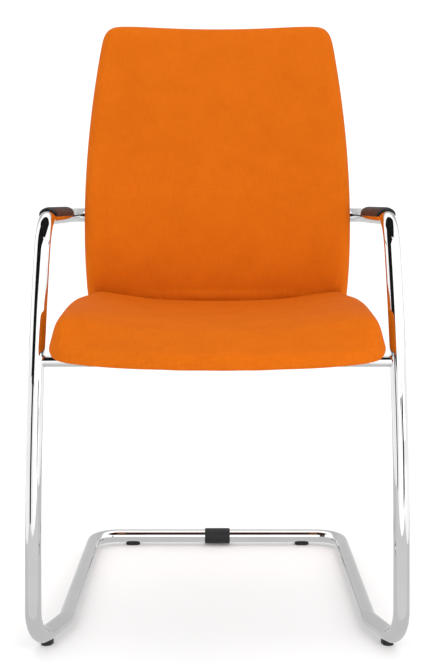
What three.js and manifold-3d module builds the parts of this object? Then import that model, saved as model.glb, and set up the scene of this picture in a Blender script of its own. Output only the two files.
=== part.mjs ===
// Sled base visitor chair: two bent chromed tubes carry one moulded shell with a seat and a back cushion.
// Millimetres, +Z up. The chair faces -Y and is the same on both sides of the plane X = 0.
// While it is modelled, y is measured back from the axis of the upright's foot, and z up from the floor.
import * as THREE from 'three';
import * as BufferGeometryUtils from 'three/addons/utils/BufferGeometryUtils.js';
import Module from 'manifold-3d';

const wasm = await Module();
wasm.setup();

// Fits
const fitGap = 0.3;
const cutOverrun = 6;

// Frame tube
const tubeDiameter = 24;
const tubeWall = 2;
const tubeFloorGap = 4;
const uprightSeatGap = 18.5;
const baseDepth = 592;
const kinkInset = 35.5;
const kinkSetback = 115;
const runnerTaper = 1.5;
const footBendRadius = 50;
const kinkRadius = 40;
const rearCornerRadius = 45;
const uprightBowDrop = 49.6;
const uprightBowRadius = 3600;
const uprightTopInset = 12.5;
const uprightTopSetback = 28;
const armFrontRise = 212.9;
const armRearRise = 207.9;
const armBackGap = 9;
const topBendRadius = 50;
const armBendRadius = 55;

// Joint of the two frame halves, in the middle of the rear floor rail
const frameSplitGap = 1;
const dowelLength = 90;
const sleeveDiameter = 29;
const sleeveLength = 48;
const sleeveEdge = 1.5;
const jointScrewSpread = 15;
const jointScrewHeadDiameter = 7;
const jointScrewHeadDepth = 1.7;
const jointScrewShankDiameter = 3.6;
const jointScrewLength = 14;

// Cross tube and seat brackets
const crossTubeDiameter = 16;
const crossTubeWall = 1.5;
const crossTubeHeight = 431.6;
const bracketHalfSpread = 140;
const bracketWidth = 44;
const bracketLength = 96;
const bracketSheet = 3;
const seatScrewSpread = 34;

// Glides
const rearGlideLength = 27;
const frontGlideLength = 22;
const glideWidth = 17;
const glideRise = 4.5;
const glidePegDiameter = 6;
const glidePegLength = 7;
const rearGlideHalfSpread = 162.5;

// Arm pads
const padThickness = 2.8;
const padEdge = 1.6;
const padEndRadius = 17;
const padWrapDegrees = 88;
const padFrontReach = 12;
const padRearReach = 80;
const padPegDiameter = 8;
const padPegLength = 9;
const padPegInset = 45;
const padScrewHeadDiameter = 8;
const padScrewHeadHeight = 2.4;
const padScrewShankDiameter = 4;
const padScrewEngagement = 6;

// Shell
const shellThickness = 11;
const shellBendRadius = 70;
const shellCornerRadius = 45;
const seatDepth = 437;
const seatOverhang = 112;
const lumbarRise = 189;
const lumbarSetback = 15.5;
const lumbarRadius = 620;
const topRise = 322.5;
const topSetback = 80.8;
const backPlanRadius = 722;

// Cushions
const seatHalfWidth = 241;
const backHalfWidth = 231;
const backSideRadius = 2000;
const seatFoam = 34.5;
const backFoam = 34;
const edgeWrap = 14;
const frontWrap = 17;
const topWrap = 12;
const seatDish = 12;
const seatSideReach = 14;
const seatFrontReach = 46;
const seatLowerReach = 12;
const seatNose = 11;
const seatNoseLand = 2.5;
const seatLipDrop = 10;
const seatLipReach = 90;
const seatFrontBow = 34;
const seatBowReach = 220;
const seatCornerRadius = 52;
const creaseRise = 15;
const creaseReach = 30;
const creaseGap = 0.6;
const backEdgeReach = 22;
const backRearReach = 10;
const backNose = 10;
const backNoseLand = 4;
const backLip = 7;
const backCornerRadius = 34;

// Panels behind and below the shell
const underPanelThickness = 2.5;
const backPanelThickness = 9;
const panelEdgeGap = 1.6;
const underPanelCorner = 70;
const underRimDrop = 5.6;
const underRimWidth = 5;
const underRimDraft = 2;

// Fixings of the back on the arm tubes
const spacerThickness = 9;
const spacerWidth = 64;
const spacerHeight = 34;
const spacerCorner = 8;
const spacerEdgeGap = 20;
const spacerEndGap = 5;
const spacerWrap = 5;
const backScrewSpread = 20;
const screwShankDiameter = 6;
const screwHeadDiameter = 11;
const screwHeadHeight = 3.4;
const socketDiameter = 5;
const socketDepth = 2;
const insertFlangeDiameter = 14;
const insertFlangeThickness = 1.4;
const insertWall = 1.2;
const insertDepth = 4;
const insertBarrel = 4.5;
const capFlange = 2;
const capPlugLength = 9;

// Counts of facets and steps
const tubeSides = 20;
const boreSides = 10;
const roundSides = 24;
const screwSides = 8;
const screwCrownShare = 0.8;
const columnShares = [-1, -0.993, -0.972, -0.942, -0.9, -0.72, -0.48, -0.24, 0,
  0.24, 0.48, 0.72, 0.9, 0.942, 0.972, 0.993, 1];
const seatTaperShare = 0.8;
const plainColumnShares = [-1, -0.72, -0.48, -0.24, 0, 0.24, 0.48, 0.72, 1];

// Sizes and levels that follow from those above
const tubeRadius = tubeDiameter / 2;
const boreRadius = tubeRadius - tubeWall;
const railHeight = tubeFloorGap + tubeRadius;
const crossTubeRadius = crossTubeDiameter / 2;
const uprightBowHeight = crossTubeHeight - uprightBowDrop;
const armFrontHeight = crossTubeHeight + armFrontRise;
const armRearHeight = crossTubeHeight + armRearRise;
const bracketTop = crossTubeHeight + crossTubeRadius + fitGap + bracketSheet;
const shellHalf = shellThickness / 2;
const underPanelLevel = -(shellHalf + fitGap + underPanelThickness);
const shellMidHeight = bracketTop - underPanelLevel;
const footHalfWidth = seatHalfWidth + uprightSeatGap + tubeRadius;
const kinkHalfWidth = footHalfWidth - kinkInset;
const rearHalfWidth = kinkHalfWidth - runnerTaper;
const armFrontHalfWidth = footHalfWidth - uprightTopInset;
const armRearHalfWidth = backHalfWidth + armBackGap + tubeRadius;
const spacerMiddle = backHalfWidth - edgeWrap - spacerEdgeGap - spacerWidth / 2;
const armEndHalfWidth = spacerMiddle - spacerWidth / 2 - spacerEndGap;

const point = (x, y, z) => new THREE.Vector3(x, y, z);
const acrossAxis = point(1, 0, 0);
const upAxis = point(0, 0, 1);
const backAxis = point(0, 1, 0);

// A circle of facets drawn round a circle lies outside it, and one drawn in it lies inside.
const roundAbout = (radius, sides) => radius / Math.cos(Math.PI / sides);
const roundInside = (radius, sides) => radius * Math.cos(Math.PI / sides);

// A route of straight runs with a round bend at each inner corner.
class BentRoute {
  constructor(corners) {
    this.pieces = [];
    this.bends = [];
    this.length = 0;
    let from = corners[0].at;
    for (let i = 1; i < corners.length - 1; i++) {
      from = this.#bend(from, ...corners.slice(i, i + 3));
    }
    this.#straight(from, corners.at(-1).at);
  }

  // Adds the straight run up to a corner and the arc round it, and returns where the arc ends. The arc
  // leaves the bend after it its room, or half of the run between them.
  #bend(from, { at, radius, steps }, next, after) {
    const into = at.clone().sub(from).normalize();
    const out = next.at.clone().sub(at);
    const run = out.length();
    out.normalize();
    const kept = after ? next.radius * Math.tan(out.angleTo(after.at.clone().sub(next.at)) / 2) : 0;
    const turn = into.angleTo(out);
    const room = Math.min(from.distanceTo(at), Math.max(run - kept, run / 2));
    const reach = Math.min(radius * Math.tan(turn / 2), room);
    const start = at.clone().addScaledVector(into, -reach);
    this.#straight(from, start);
    const bendRadius = reach / Math.tan(turn / 2);
    const axis = into.clone().cross(out).normalize();
    const centre = start.clone().addScaledVector(axis.clone().cross(into), bendRadius);
    const bend = { start, into, axis, centre, turn, steps, begin: this.length,
      length: bendRadius * turn, end: this.length + bendRadius * turn };
    this.pieces.push(bend);
    this.bends.push(bend);
    this.length = bend.end;
    return at.clone().addScaledVector(out, reach);
  }

  #straight(from, to) {
    const into = to.clone().sub(from);
    const length = into.length();
    this.pieces.push({ start: from.clone(), into: into.normalize(), steps: 1, begin: this.length, length });
    this.length += length;
  }

  // The place and the direction at a distance along the route, which runs on straight past its ends.
  at(distance) {
    const piece = this.pieces.findLast((p) => p.begin <= distance) ?? this.pieces[0];
    const run = distance - piece.begin;
    if (!piece.axis) {
      return { place: piece.start.clone().addScaledVector(piece.into, run), tangent: piece.into.clone() };
    }
    const turned = (piece.turn * run) / piece.length;
    const arm = piece.start.clone().sub(piece.centre).applyAxisAngle(piece.axis, turned);
    return { place: arm.add(piece.centre), tangent: piece.into.clone().applyAxisAngle(piece.axis, turned) };
  }

  // The distances between two places at which the route needs a ring: both ends and the steps of its bends.
  rings(from, to) {
    const found = [from, to];
    for (const { begin, length, steps } of this.pieces) {
      for (let k = 0; k <= steps; k++) found.push(begin + (length * k) / steps);
    }
    return tidyStops(found.filter((d) => d >= from && d <= to), fitGap);
  }

  // The distance at which a value of the place, which grows from one end to the other, reaches a level.
  find(from, to, reached) {
    let [low, high] = [from, to];
    for (let i = 0; i < halvings; i++) {
      const middle = (low + high) / 2;
      if (reached(middle)) high = middle;
      else low = middle;
    }
    return high;
  }
}
const halvings = 40;

// Sorted stops, none closer to the next than a least step, with both ends kept.
function tidyStops(list, least) {
  const sorted = [...list].sort((a, b) => a - b);
  const last = sorted.at(-1);
  const kept = [sorted[0]];
  for (const stop of sorted) {
    if (stop - kept.at(-1) > least && last - stop > least) kept.push(stop);
  }
  return [...kept, last];
}

// The part of a route between two distances, as a curve whose steps are the rings of the route.
class RouteSpan extends THREE.Curve {
  constructor(route, from, to) {
    super();
    this.route = route;
    this.rings = route.rings(from, to);
    this.steps = this.rings.length - 1;
  }

  getPointAt(u) {
    return this.route.at(this.rings[Math.round(u * this.steps)]).place;
  }

  getTangentAt(u) {
    return this.route.at(this.rings[Math.round(u * this.steps)]).tangent;
  }
}

// Closed meshes as solids that can be joined and cut
function solidOf(geometry) {
  const bare = geometry.index ? geometry.toNonIndexed() : geometry.clone();
  bare.deleteAttribute('normal');
  bare.deleteAttribute('uv');
  const merged = BufferGeometryUtils.mergeVertices(bare);
  const corners = merged.index.array;
  const triVerts = [];
  for (let i = 0; i < corners.length; i += 3) {
    const [a, b, c] = corners.slice(i, i + 3);
    if (a !== b && b !== c && c !== a) triVerts.push(a, b, c);
  }
  const vertProperties = merged.getAttribute('position').array;
  return new wasm.Manifold(new wasm.Mesh({ numProp: 3, vertProperties, triVerts: new Uint32Array(triVerts) }));
}

function geometryOf(solid) {
  const { vertProperties, triVerts } = solid.getMesh();
  const geometry = new THREE.BufferGeometry();
  geometry.setAttribute('position', new THREE.BufferAttribute(vertProperties, 3));
  geometry.setIndex(new THREE.BufferAttribute(triVerts, 1));
  geometry.computeVertexNormals();
  return geometry;
}

function cut(geometry, tools) {
  return geometryOf(tools.reduce((solid, tool) => solid.subtract(solidOf(tool)), solidOf(geometry)));
}

function join(geometry, others) {
  return geometryOf(others.reduce((solid, other) => solid.add(solidOf(other)), solidOf(geometry)));
}

// The same geometry on the other side of the plane X = 0
function mirrored(geometry) {
  const other = geometry.index ? geometry.toNonIndexed() : geometry.clone();
  const spots = other.getAttribute('position');
  for (let i = 0; i < spots.count; i += 3) {
    const [a, b, c] = [0, 1, 2].map((k) => new THREE.Vector3().fromBufferAttribute(spots, i + k));
    [a, c, b].forEach((v, k) => spots.setXYZ(i + k, -v.x, v.y, v.z));
  }
  other.computeVertexNormals();
  return other;
}

// Simple shapes placed by a point and a direction
function polygon(radius, sides) {
  return Array.from({ length: sides }, (_, k) => {
    const angle = (2 * Math.PI * k) / sides;
    return new THREE.Vector2(radius * Math.cos(angle), radius * Math.sin(angle));
  });
}

function aimed(geometry, from, direction) {
  const turn = new THREE.Quaternion().setFromUnitVectors(backAxis, direction);
  return geometry.applyQuaternion(turn).translate(from.x, from.y, from.z);
}

function rod(radius, from, direction, length, sides = roundSides) {
  const cylinder = new THREE.CylinderGeometry(radius, radius, length, sides).translate(0, length / 2, 0);
  return aimed(cylinder, from, direction);
}

// A turned piece: its profile lists radius and height from the lower end up
function turned(profile, from, direction, sides) {
  const points = profile.map(([radius, height]) => new THREE.Vector2(radius, height));
  return aimed(new THREE.LatheGeometry(points, sides), from, direction);
}

function tubeAlong(route, from, to, radius, bore = 0) {
  const section = new THREE.Shape(polygon(radius, tubeSides));
  if (bore > 0) section.holes.push(new THREE.Path(polygon(bore, boreSides)));
  const extrudePath = new RouteSpan(route, from, to);
  return new THREE.ExtrudeGeometry(section, { steps: extrudePath.steps, extrudePath, bevelEnabled: false });
}

// A slab on a grid of columns and rows: place gives where each crossing lies on its upper or lower face.
// The diagonals of the grid run alike on both faces, and mirrored on the two halves of the columns.
function slab(columns, rows, place) {
  const [across, along] = [columns.length - 1, rows.length - 1];
  const box = new THREE.BoxGeometry(1, 1, 1, across, along, 1);
  const spots = box.getAttribute('position');
  for (let n = 0; n < spots.count; n++) {
    const column = columns[Math.round((spots.getX(n) + 1 / 2) * across)];
    const row = rows[Math.round((spots.getY(n) + 1 / 2) * along)];
    const { x, y, z } = place(column, row, spots.getZ(n) > 0);
    spots.setXYZ(n, x, y, z);
  }
  const corners = box.getIndex().array;
  for (const { start, count } of box.groups.slice(-2)) {
    for (let at = start; at < start + count; at += cornersPerCell) {
      const cell = (at - start) / cornersPerCell;
      if (cell % across < across / 2) continue;
      const [a, b, d, , c] = corners.slice(at, at + cornersPerCell);
      corners.set([a, b, c, a, c, d], at);
    }
  }
  return box;
}
const cornersPerCell = 6;

// Route of the shell's middle surface in the plane X = 0, from the seat's front edge to the top of the back
const backFace = seatDepth - seatOverhang;
const shellHeel = backFace + backFoam + shellHalf;
const shellFront = frontWrap - seatOverhang;
const shellRoute = new BentRoute([
  { at: point(0, shellFront, shellMidHeight) },
  { at: point(0, shellHeel, shellMidHeight), radius: shellBendRadius, steps: 6 },
  { at: point(0, shellHeel + lumbarSetback, shellMidHeight + lumbarRise), radius: lumbarRadius, steps: 4 },
  { at: point(0, shellHeel + lumbarSetback + topSetback, shellMidHeight + lumbarRise + topRise) },
]);
const [heelBend, lumbarBend] = shellRoute.bends;
const crease = (heelBend.begin + heelBend.end) / 2;
const widestStop = (lumbarBend.begin + lumbarBend.end) / 2;

// Where a point lies that is x from the middle, s along the shell and t in front of its middle surface.
// The seat's front edge is bowed, and the back is hollow across its width.
function shellPlace(x, s, t) {
  const bowFade = Math.max(0, 1 - (s + frontWrap) / seatBowReach);
  const bowed = s + seatFrontBow * (x / seatHalfWidth) ** 2 * bowFade ** 2;
  const { place, tangent } = shellRoute.at(bowed);
  const hollow = THREE.MathUtils.smoothstep(s, heelBend.begin, lumbarBend.begin);
  const lift = t + (hollow * x ** 2) / (2 * backPlanRadius);
  return place.addScaledVector(acrossAxis, x).addScaledVector(acrossAxis.clone().cross(tangent), lift);
}

// The point of the back at a height z, x from the middle and t in front of the shell's middle surface
function backPlace(x, z, t) {
  const high = (s) => shellPlace(x, s, t).z >= z;
  return shellPlace(x, shellRoute.find(crease, shellRoute.length, high), t);
}

function cushionHalfWidth(s) {
  const backWidth = (at) => backHalfWidth - (at - widestStop) ** 2 / (2 * backSideRadius);
  if (s > crease) return backWidth(s);
  const taper = THREE.MathUtils.smoothstep(s, heelBend.begin * seatTaperShare, crease);
  return seatHalfWidth + (backWidth(crease) - seatHalfWidth) * taper;
}
const shellHalfWidth = (s) => cushionHalfWidth(s) - edgeWrap;

// Carries a point near a corner of a grid onto the round corner of the outline
function roundedSpot(x, s, half, [low, high], [lowRadius, highRadius]) {
  const nearLow = s - low < high - s;
  const radius = nearLow ? lowRadius : highRadius;
  const across = Math.abs(x) - (half - radius);
  const along = radius - (nearLow ? s - low : high - s);
  if (across <= 0 || along <= 0) return [x, s];
  const pull = Math.max(across, along) / Math.hypot(across, along);
  const edge = radius - along * pull;
  return [Math.sign(x) * (half - radius + across * pull), nearLow ? low + edge : high - edge];
}

// How far a round edge has dropped, as a share of its rise, where the share near of its reach lies inside
const edgeDropShare = (near) => 1 - Math.sqrt(1 - (1 - THREE.MathUtils.clamp(near, 0, 1)) ** 2);

// A body over a stretch of the shell, with its outline, upper face and lower face given by the caller. It
// can be grown sideways and slid along the shell, with its facets unchanged.
function shellBody({ columns, rows, stretch, corners, halfWidth, upper, lower, grow = 0, slide = 0 }) {
  return slab(columns, rows, (share, s, isUpper) => {
    const half = halfWidth(s);
    const x = share * half;
    const near = { side: half - Math.abs(x), low: s - stretch[0], high: stretch[1] - s };
    const [roundX, roundS] = roundedSpot(x, s, half, stretch, corners);
    return shellPlace(roundX * (1 + grow / half), roundS + slide, (isUpper ? upper : lower)(share, s, near));
  });
}

function evenRows(from, to, count) {
  return Array.from({ length: count + 1 }, (_, k) => from + ((to - from) * k) / count);
}

// Rows that crowd where an edge of the given reach turns over
function edgeRows(end, reach, count) {
  return Array.from({ length: count + 1 }, (_, k) => end + reach * (1 - Math.cos((Math.PI * k) / (2 * count))));
}
const rowLeast = 4;

// The plain rows of the shell, which its pocket and its panels share so that their facets agree
const shellStretch = [0, shellRoute.length];
const shellRows = tidyStops([
  ...shellRoute.rings(...shellStretch),
  ...edgeRows(0, shellCornerRadius, 3),
  ...edgeRows(shellRoute.length, -shellCornerRadius, 3),
  ...evenRows(...shellStretch, 10),
], rowLeast);
const rowsBetween = (from, to) => tidyStops([from, to, ...shellRows.filter((s) => s > from && s < to)], fitGap);

// A part of the space over or under the shell, between two levels
function shellLayer(stretch, corners, halfWidth, [lowerLevel, upperLevel], loose = {}) {
  return shellBody({ columns: plainColumnShares, rows: rowsBetween(...stretch), stretch, corners, halfWidth,
    upper: () => upperLevel, lower: () => lowerLevel, ...loose });
}

const panelHalfWidth = (s) => shellHalfWidth(s) + fitGap - panelEdgeGap;
const backPanelStretch = [heelBend.begin, shellRoute.length - panelEdgeGap];

// Route of the left half of the frame, from the middle of the rear floor rail to behind the back
const panelLevel = -(shellHalf + fitGap + backPanelThickness);
const armRearDepth = backPlace(armEndHalfWidth, armRearHeight, panelLevel).y + spacerThickness + tubeRadius;
const frameRoute = new BentRoute([
  { at: point(-frameSplitGap / 2, baseDepth, railHeight) },
  { at: point(-rearHalfWidth, baseDepth, railHeight), radius: rearCornerRadius, steps: 6 },
  { at: point(-kinkHalfWidth, kinkSetback, railHeight), radius: kinkRadius, steps: 2 },
  { at: point(-footHalfWidth, 0, railHeight), radius: footBendRadius, steps: 8 },
  { at: point(-footHalfWidth, 0, uprightBowHeight), radius: uprightBowRadius, steps: 4 },
  { at: point(-armFrontHalfWidth, uprightTopSetback, armFrontHeight), radius: topBendRadius, steps: 8 },
  { at: point(-armRearHalfWidth, armRearDepth, armRearHeight), radius: armBendRadius, steps: 7 },
  { at: point(-armEndHalfWidth, armRearDepth, armRearHeight) },
]);
const [rearBend, kinkBend, footBend, , topBend, armBend] = frameRoute.bends;

function uprightAt(height) {
  return frameRoute.find(footBend.end, topBend.begin, (d) => frameRoute.at(d).place.z >= height);
}

// The place and the three directions of the arm tube: side towards the middle, rise away from the floor
function armFrame(distance) {
  const { place, tangent } = frameRoute.at(distance);
  const rise = upAxis.clone().addScaledVector(tangent, -upAxis.dot(tangent)).normalize();
  return { place, rise, side: tangent.clone().cross(rise) };
}
const armPoint = (distance, out) => {
  const { place, rise } = armFrame(distance);
  return place.addScaledVector(rise, out);
};

// Screws, and the threaded inserts that they reach: both lie along the direction in which they are driven
const screwRadius = screwShankDiameter / 2;
const screwHole = screwRadius + fitGap;
const insertRadius = screwHole + insertWall;
const flangeRadius = insertFlangeDiameter / 2;

function capScrew(from, direction, length, headDiameter, headHeight, shankDiameter) {
  const [head, shank, socket] = [headDiameter / 2, shankDiameter / 2, socketDiameter / 2];
  const socketRadius = Math.min(socket, head / 2);
  const depth = Math.min(socketDepth, headHeight / 2);
  return turned([[0, depth - headHeight], [socketRadius, depth - headHeight], [socketRadius, -headHeight],
    [head * screwCrownShare, -headHeight], [head, -headHeight * screwCrownShare], [head, 0], [shank, 0],
    [shank, length], [0, length]], from, direction, screwSides);
}

// An insert, whose flange lies on the plane through a point on its axis
function insertAt(from, direction) {
  return turned([[screwHole, -insertBarrel], [insertRadius, -insertBarrel], [insertRadius, 0], [flangeRadius, 0],
    [flangeRadius, insertFlangeThickness], [screwHole, insertFlangeThickness], [screwHole, -insertBarrel]],
  from, direction, screwSides);
}

function insertHole({ flange, direction }) {
  const back = direction.clone().negate();
  const seat = flange.clone().addScaledVector(back, fitGap);
  return [
    rod(roundAbout(insertRadius + fitGap, screwSides), flange, back, shellThickness * 2, screwSides),
    rod(roundAbout(flangeRadius + fitGap, screwSides), seat, direction, insertDepth + cutOverrun, screwSides),
  ];
}

const screwClearance = (from, direction, length) =>
  rod(roundAbout(screwHole, screwSides), from.clone().addScaledVector(direction, -length), direction,
    2 * length, screwSides);

// Places of the seat screws, from below through bracket and panel into the shell
const crossTubeDepth = frameRoute.at(uprightAt(crossTubeHeight)).place.y;
const crossTubeAxisHalf = -frameRoute.at(uprightAt(crossTubeHeight)).place.x;
const bracketUnderside = bracketTop - bracketSheet;
const seatFixings = ['left', 'right'].flatMap((sideName, side) => ['front', 'rear'].map((endName, end) => {
  const x = (2 * side - 1) * bracketHalfSpread;
  const y = crossTubeDepth + (2 * end - 1) * seatScrewSpread;
  return { name: `${endName}_${sideName}`, direction: upAxis, head: point(x, y, bracketUnderside),
    flange: point(x, y, shellMidHeight + shellHalf - insertDepth) };
}));

// Places of the back screws, from behind through tube, spacer and panel into the shell
const forward = backAxis.clone().negate();
const backFixings = ['left', 'right'].flatMap((sideName, side) => ['inner', 'outer'].map((endName, end) => {
  const x = (2 * side - 1) * (spacerMiddle + (2 * end - 1) * backScrewSpread);
  const front = backPlace(x, armRearHeight, shellHalf);
  return { name: `${endName}_${sideName}`, direction: forward,
    head: point(x, armRearDepth + tubeRadius + fitGap, armRearHeight),
    flange: point(x, front.y + insertDepth, armRearHeight) };
}));
const throughHole = ({ head, flange, direction }) =>
  screwClearance(head, direction, head.distanceTo(flange) + cutOverrun);

// Glides
function glide({ place: centre, tangent: along }, length, tubeSpan) {
  const halfRun = (length - glideWidth) / 2;
  const plan = new THREE.Shape();
  plan.absarc(halfRun, 0, glideWidth / 2, -Math.PI / 2, Math.PI / 2);
  plan.absarc(-halfRun, 0, glideWidth / 2, Math.PI / 2, (3 * Math.PI) / 2);
  const height = tubeFloorGap + glideRise;
  const block = new THREE.ExtrudeGeometry(plan, { depth: height, bevelEnabled: false, curveSegments: 5 });
  block.rotateZ(Math.atan2(along.y, along.x)).translate(centre.x, centre.y, 0);
  const bed = tubeAlong(frameRoute, ...tubeSpan, roundAbout(tubeRadius + fitGap, tubeSides));
  const pegFoot = point(centre.x, centre.y, tubeFloorGap / 2);
  const peg = rod(glidePegDiameter / 2, pegFoot, upAxis, tubeFloorGap / 2 + glidePegLength, screwSides);
  return join(cut(block, [bed]), [peg]);
}
const glidePegHole = (centre) => rod(roundAbout(glidePegDiameter / 2 + fitGap, screwSides),
  point(centre.x, centre.y, 0), upAxis, railHeight, screwSides);
const frontGlideSpot = frameRoute.at(footBend.begin);
const rearGlideSpot = { place: point(-rearGlideHalfSpread, baseDepth, railHeight), tangent: acrossAxis };

// Arm pad: a half sleeve over the arm tube, with round ends, and two pegs into the tube
const padFrom = topBend.end - padFrontReach;
const padTo = armBend.begin - padRearReach;
const padPegs = [padFrom + padPegInset, padTo - padPegInset];
const padInner = roundAbout(tubeRadius + fitGap, tubeSides);
const padHalfWrap = padInner * THREE.MathUtils.degToRad(padWrapDegrees);
const padColumnShares = [-1, -0.97, -0.88, -0.7, -0.47, -0.23, 0, 0.23, 0.47, 0.7, 0.88, 0.97, 1];

function armPad() {
  const stretch = [padFrom, padTo];
  const rows = tidyStops([...frameRoute.rings(padFrom, padTo), ...edgeRows(padFrom, padEdge, 2),
    ...edgeRows(padTo, -padEdge, 2), ...edgeRows(padFrom, padEndRadius, 4),
    ...edgeRows(padTo, -padEndRadius, 4)], fitGap);
  const sleeve = slab(padColumnShares, rows, (share, s, isUpper) => {
    const x = share * padHalfWrap;
    const near = Math.min(padHalfWrap - Math.abs(x), s - padFrom, padTo - s);
    const [wrap, run] = roundedSpot(x, s, padHalfWrap, stretch, [padEndRadius, padEndRadius]);
    const { place, rise, side } = armFrame(run);
    const out = padInner + (isUpper ? padThickness - padEdge * edgeDropShare(near / padEdge) : 0);
    const angle = wrap / padInner;
    return place.addScaledVector(side, out * Math.sin(angle)).addScaledVector(rise, out * Math.cos(angle));
  });
  const pegs = padPegs.map((distance) => rod(padPegDiameter / 2, armPoint(distance, padInner - padPegLength),
    armFrame(distance).rise, padPegLength + padThickness / 2, screwSides));
  return cut(join(sleeve, pegs), padPegs.map((distance) => padScrewHole(distance)));
}
const padScrewHole = (distance) => rod(roundAbout(padScrewShankDiameter / 2 + fitGap, screwSides),
  armPoint(distance, -tubeDiameter), armFrame(distance).rise,
  tubeDiameter + padInner - padPegLength + padScrewEngagement + fitGap, screwSides);
const padPegHole = (distance) => rod(roundAbout(padPegDiameter / 2 + fitGap, screwSides), armPoint(distance, 0),
  armFrame(distance).rise, 2 * tubeRadius, screwSides);

function padScrew(distance) {
  const head = armPoint(distance, -padInner);
  const length = 2 * padInner - padPegLength + padScrewEngagement;
  return capScrew(head, armFrame(distance).rise, length, padScrewHeadDiameter, padScrewHeadHeight,
    padScrewShankDiameter);
}

// Joint: a plug in both tube ends, two countersunk screws from below and a sleeve round the tube
function jointScrew(grow) {
  const head = jointScrewHeadDiameter / 2 + grow;
  const shank = jointScrewShankDiameter / 2 + grow;
  const from = point(-jointScrewSpread, baseDepth, railHeight - roundInside(tubeRadius, tubeSides));
  const profile = [[0, -grow], [head, -grow], [shank, jointScrewHeadDepth], [shank, jointScrewLength + grow],
    [0, jointScrewLength + grow]];
  return turned(profile, from, upAxis, screwSides);
}
const dowelRadius = roundInside(boreRadius, boreSides) - fitGap;

function jointDowel() {
  const plug = rod(dowelRadius, point(-dowelLength / 2, baseDepth, railHeight), acrossAxis, dowelLength);
  const hole = jointScrew(fitGap);
  return cut(plug, [hole, mirrored(hole)]);
}

function jointSleeve() {
  const bore = roundAbout(tubeRadius + fitGap, roundSides);
  const [outer, half] = [sleeveDiameter / 2, sleeveLength / 2];
  return turned([[bore, -half], [outer - sleeveEdge, -half], [outer, sleeveEdge - half],
    [outer, half - sleeveEdge], [outer - sleeveEdge, half], [bore, half], [bore, -half]],
  point(0, baseDepth, railHeight), acrossAxis, roundSides);
}

// Left half of the frame, with the holes for what is fixed to it
function frameHalf() {
  const tube = tubeAlong(frameRoute, 0, frameRoute.length, tubeRadius, boreRadius);
  return cut(tube, [
    jointScrew(fitGap),
    glidePegHole(rearGlideSpot.place),
    glidePegHole(frontGlideSpot.place),
    ...padPegs.map((distance) => padPegHole(distance)),
    ...padPegs.map((distance) => padScrewHole(distance)),
    ...backFixings.filter(({ head }) => head.x < 0).map(throughHole),
  ]);
}

function crossTube() {
  const half = crossTubeAxisHalf;
  const section = new THREE.Shape(polygon(crossTubeRadius, tubeSides));
  section.holes.push(new THREE.Path(polygon(crossTubeRadius - crossTubeWall, boreSides)));
  const tube = new THREE.ExtrudeGeometry(section, { depth: 2 * half, steps: 1, bevelEnabled: false });
  tube.rotateY(Math.PI / 2).translate(-half, crossTubeDepth, crossTubeHeight);
  const reach = crossTubeDiameter + tubeDiameter;
  const level = uprightAt(crossTubeHeight);
  const upright = tubeAlong(frameRoute, level - reach, level + reach, roundAbout(tubeRadius + fitGap, tubeSides));
  return cut(tube, [upright, mirrored(upright)]);
}

function seatBracket() {
  const half = bracketWidth / 2;
  const cheek = half - bracketSheet;
  const outline = new THREE.Shape([[-half, crossTubeHeight], [-cheek, crossTubeHeight], [-cheek, bracketUnderside],
    [cheek, bracketUnderside], [cheek, crossTubeHeight], [half, crossTubeHeight], [half, bracketTop],
    [-half, bracketTop]].map(([x, z]) => new THREE.Vector2(x, z)));
  const channel = new THREE.ExtrudeGeometry(outline, { depth: bracketLength, steps: 1, bevelEnabled: false });
  channel.rotateX(Math.PI / 2).translate(-bracketHalfSpread, crossTubeDepth + bracketLength / 2, 0);
  const bed = rod(roundAbout(crossTubeRadius + fitGap, roundSides),
    point(-bracketHalfSpread - bracketWidth, crossTubeDepth, crossTubeHeight), acrossAxis, 2 * bracketWidth);
  return cut(channel, [bed, ...seatFixings.filter(({ head }) => head.x < 0).map(throughHole)]);
}

// Spacer between the back and the arm tube, shaped to both
function backSpacer() {
  const [width, height, corner] = [spacerWidth / 2, spacerHeight / 2, spacerCorner];
  const outline = new THREE.Shape();
  outline.absarc(width - corner, height - corner, corner, 0, Math.PI / 2);
  outline.absarc(corner - width, height - corner, corner, Math.PI / 2, Math.PI);
  outline.absarc(corner - width, corner - height, corner, Math.PI, (3 * Math.PI) / 2);
  outline.absarc(width - corner, corner - height, corner, (3 * Math.PI) / 2, 2 * Math.PI);
  const rear = armRearDepth - tubeRadius + spacerWrap;
  const front = backPlace(spacerMiddle + width, armRearHeight - height, 0).y;
  const block = new THREE.ExtrudeGeometry(outline, { depth: rear - front, bevelEnabled: false, curveSegments: 3 });
  block.rotateX(Math.PI / 2).translate(-spacerMiddle, rear, armRearHeight);
  const bed = rod(roundAbout(tubeRadius + fitGap, roundSides), point(-armRearHalfWidth, armRearDepth, armRearHeight),
    acrossAxis, armRearHalfWidth);
  const back = shellLayer(backPanelStretch, [0, shellCornerRadius], panelHalfWidth,
    [panelLevel - fitGap, backFoam]);
  return cut(block, [bed, back, ...backFixings.filter(({ head }) => head.x < 0).map(throughHole)]);
}

function tubeCap() {
  const plug = roundInside(boreRadius, boreSides) - fitGap;
  return turned([[0, -capFlange], [tubeRadius, -capFlange], [tubeRadius, 0], [plug, 0], [plug, capPlugLength],
    [0, capPlugLength]], point(-armEndHalfWidth, armRearDepth, armRearHeight), acrossAxis.clone().negate(),
  roundSides);
}

// Shell, panels and cushions
const pocketLevels = [-3 * shellThickness, shellHalf + fitGap];

function seatShell() {
  const board = shellLayer(shellStretch, [shellCornerRadius, shellCornerRadius], shellHalfWidth,
    [-shellHalf, shellHalf]);
  return cut(board, [...seatFixings, ...backFixings].flatMap(insertHole));
}

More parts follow.
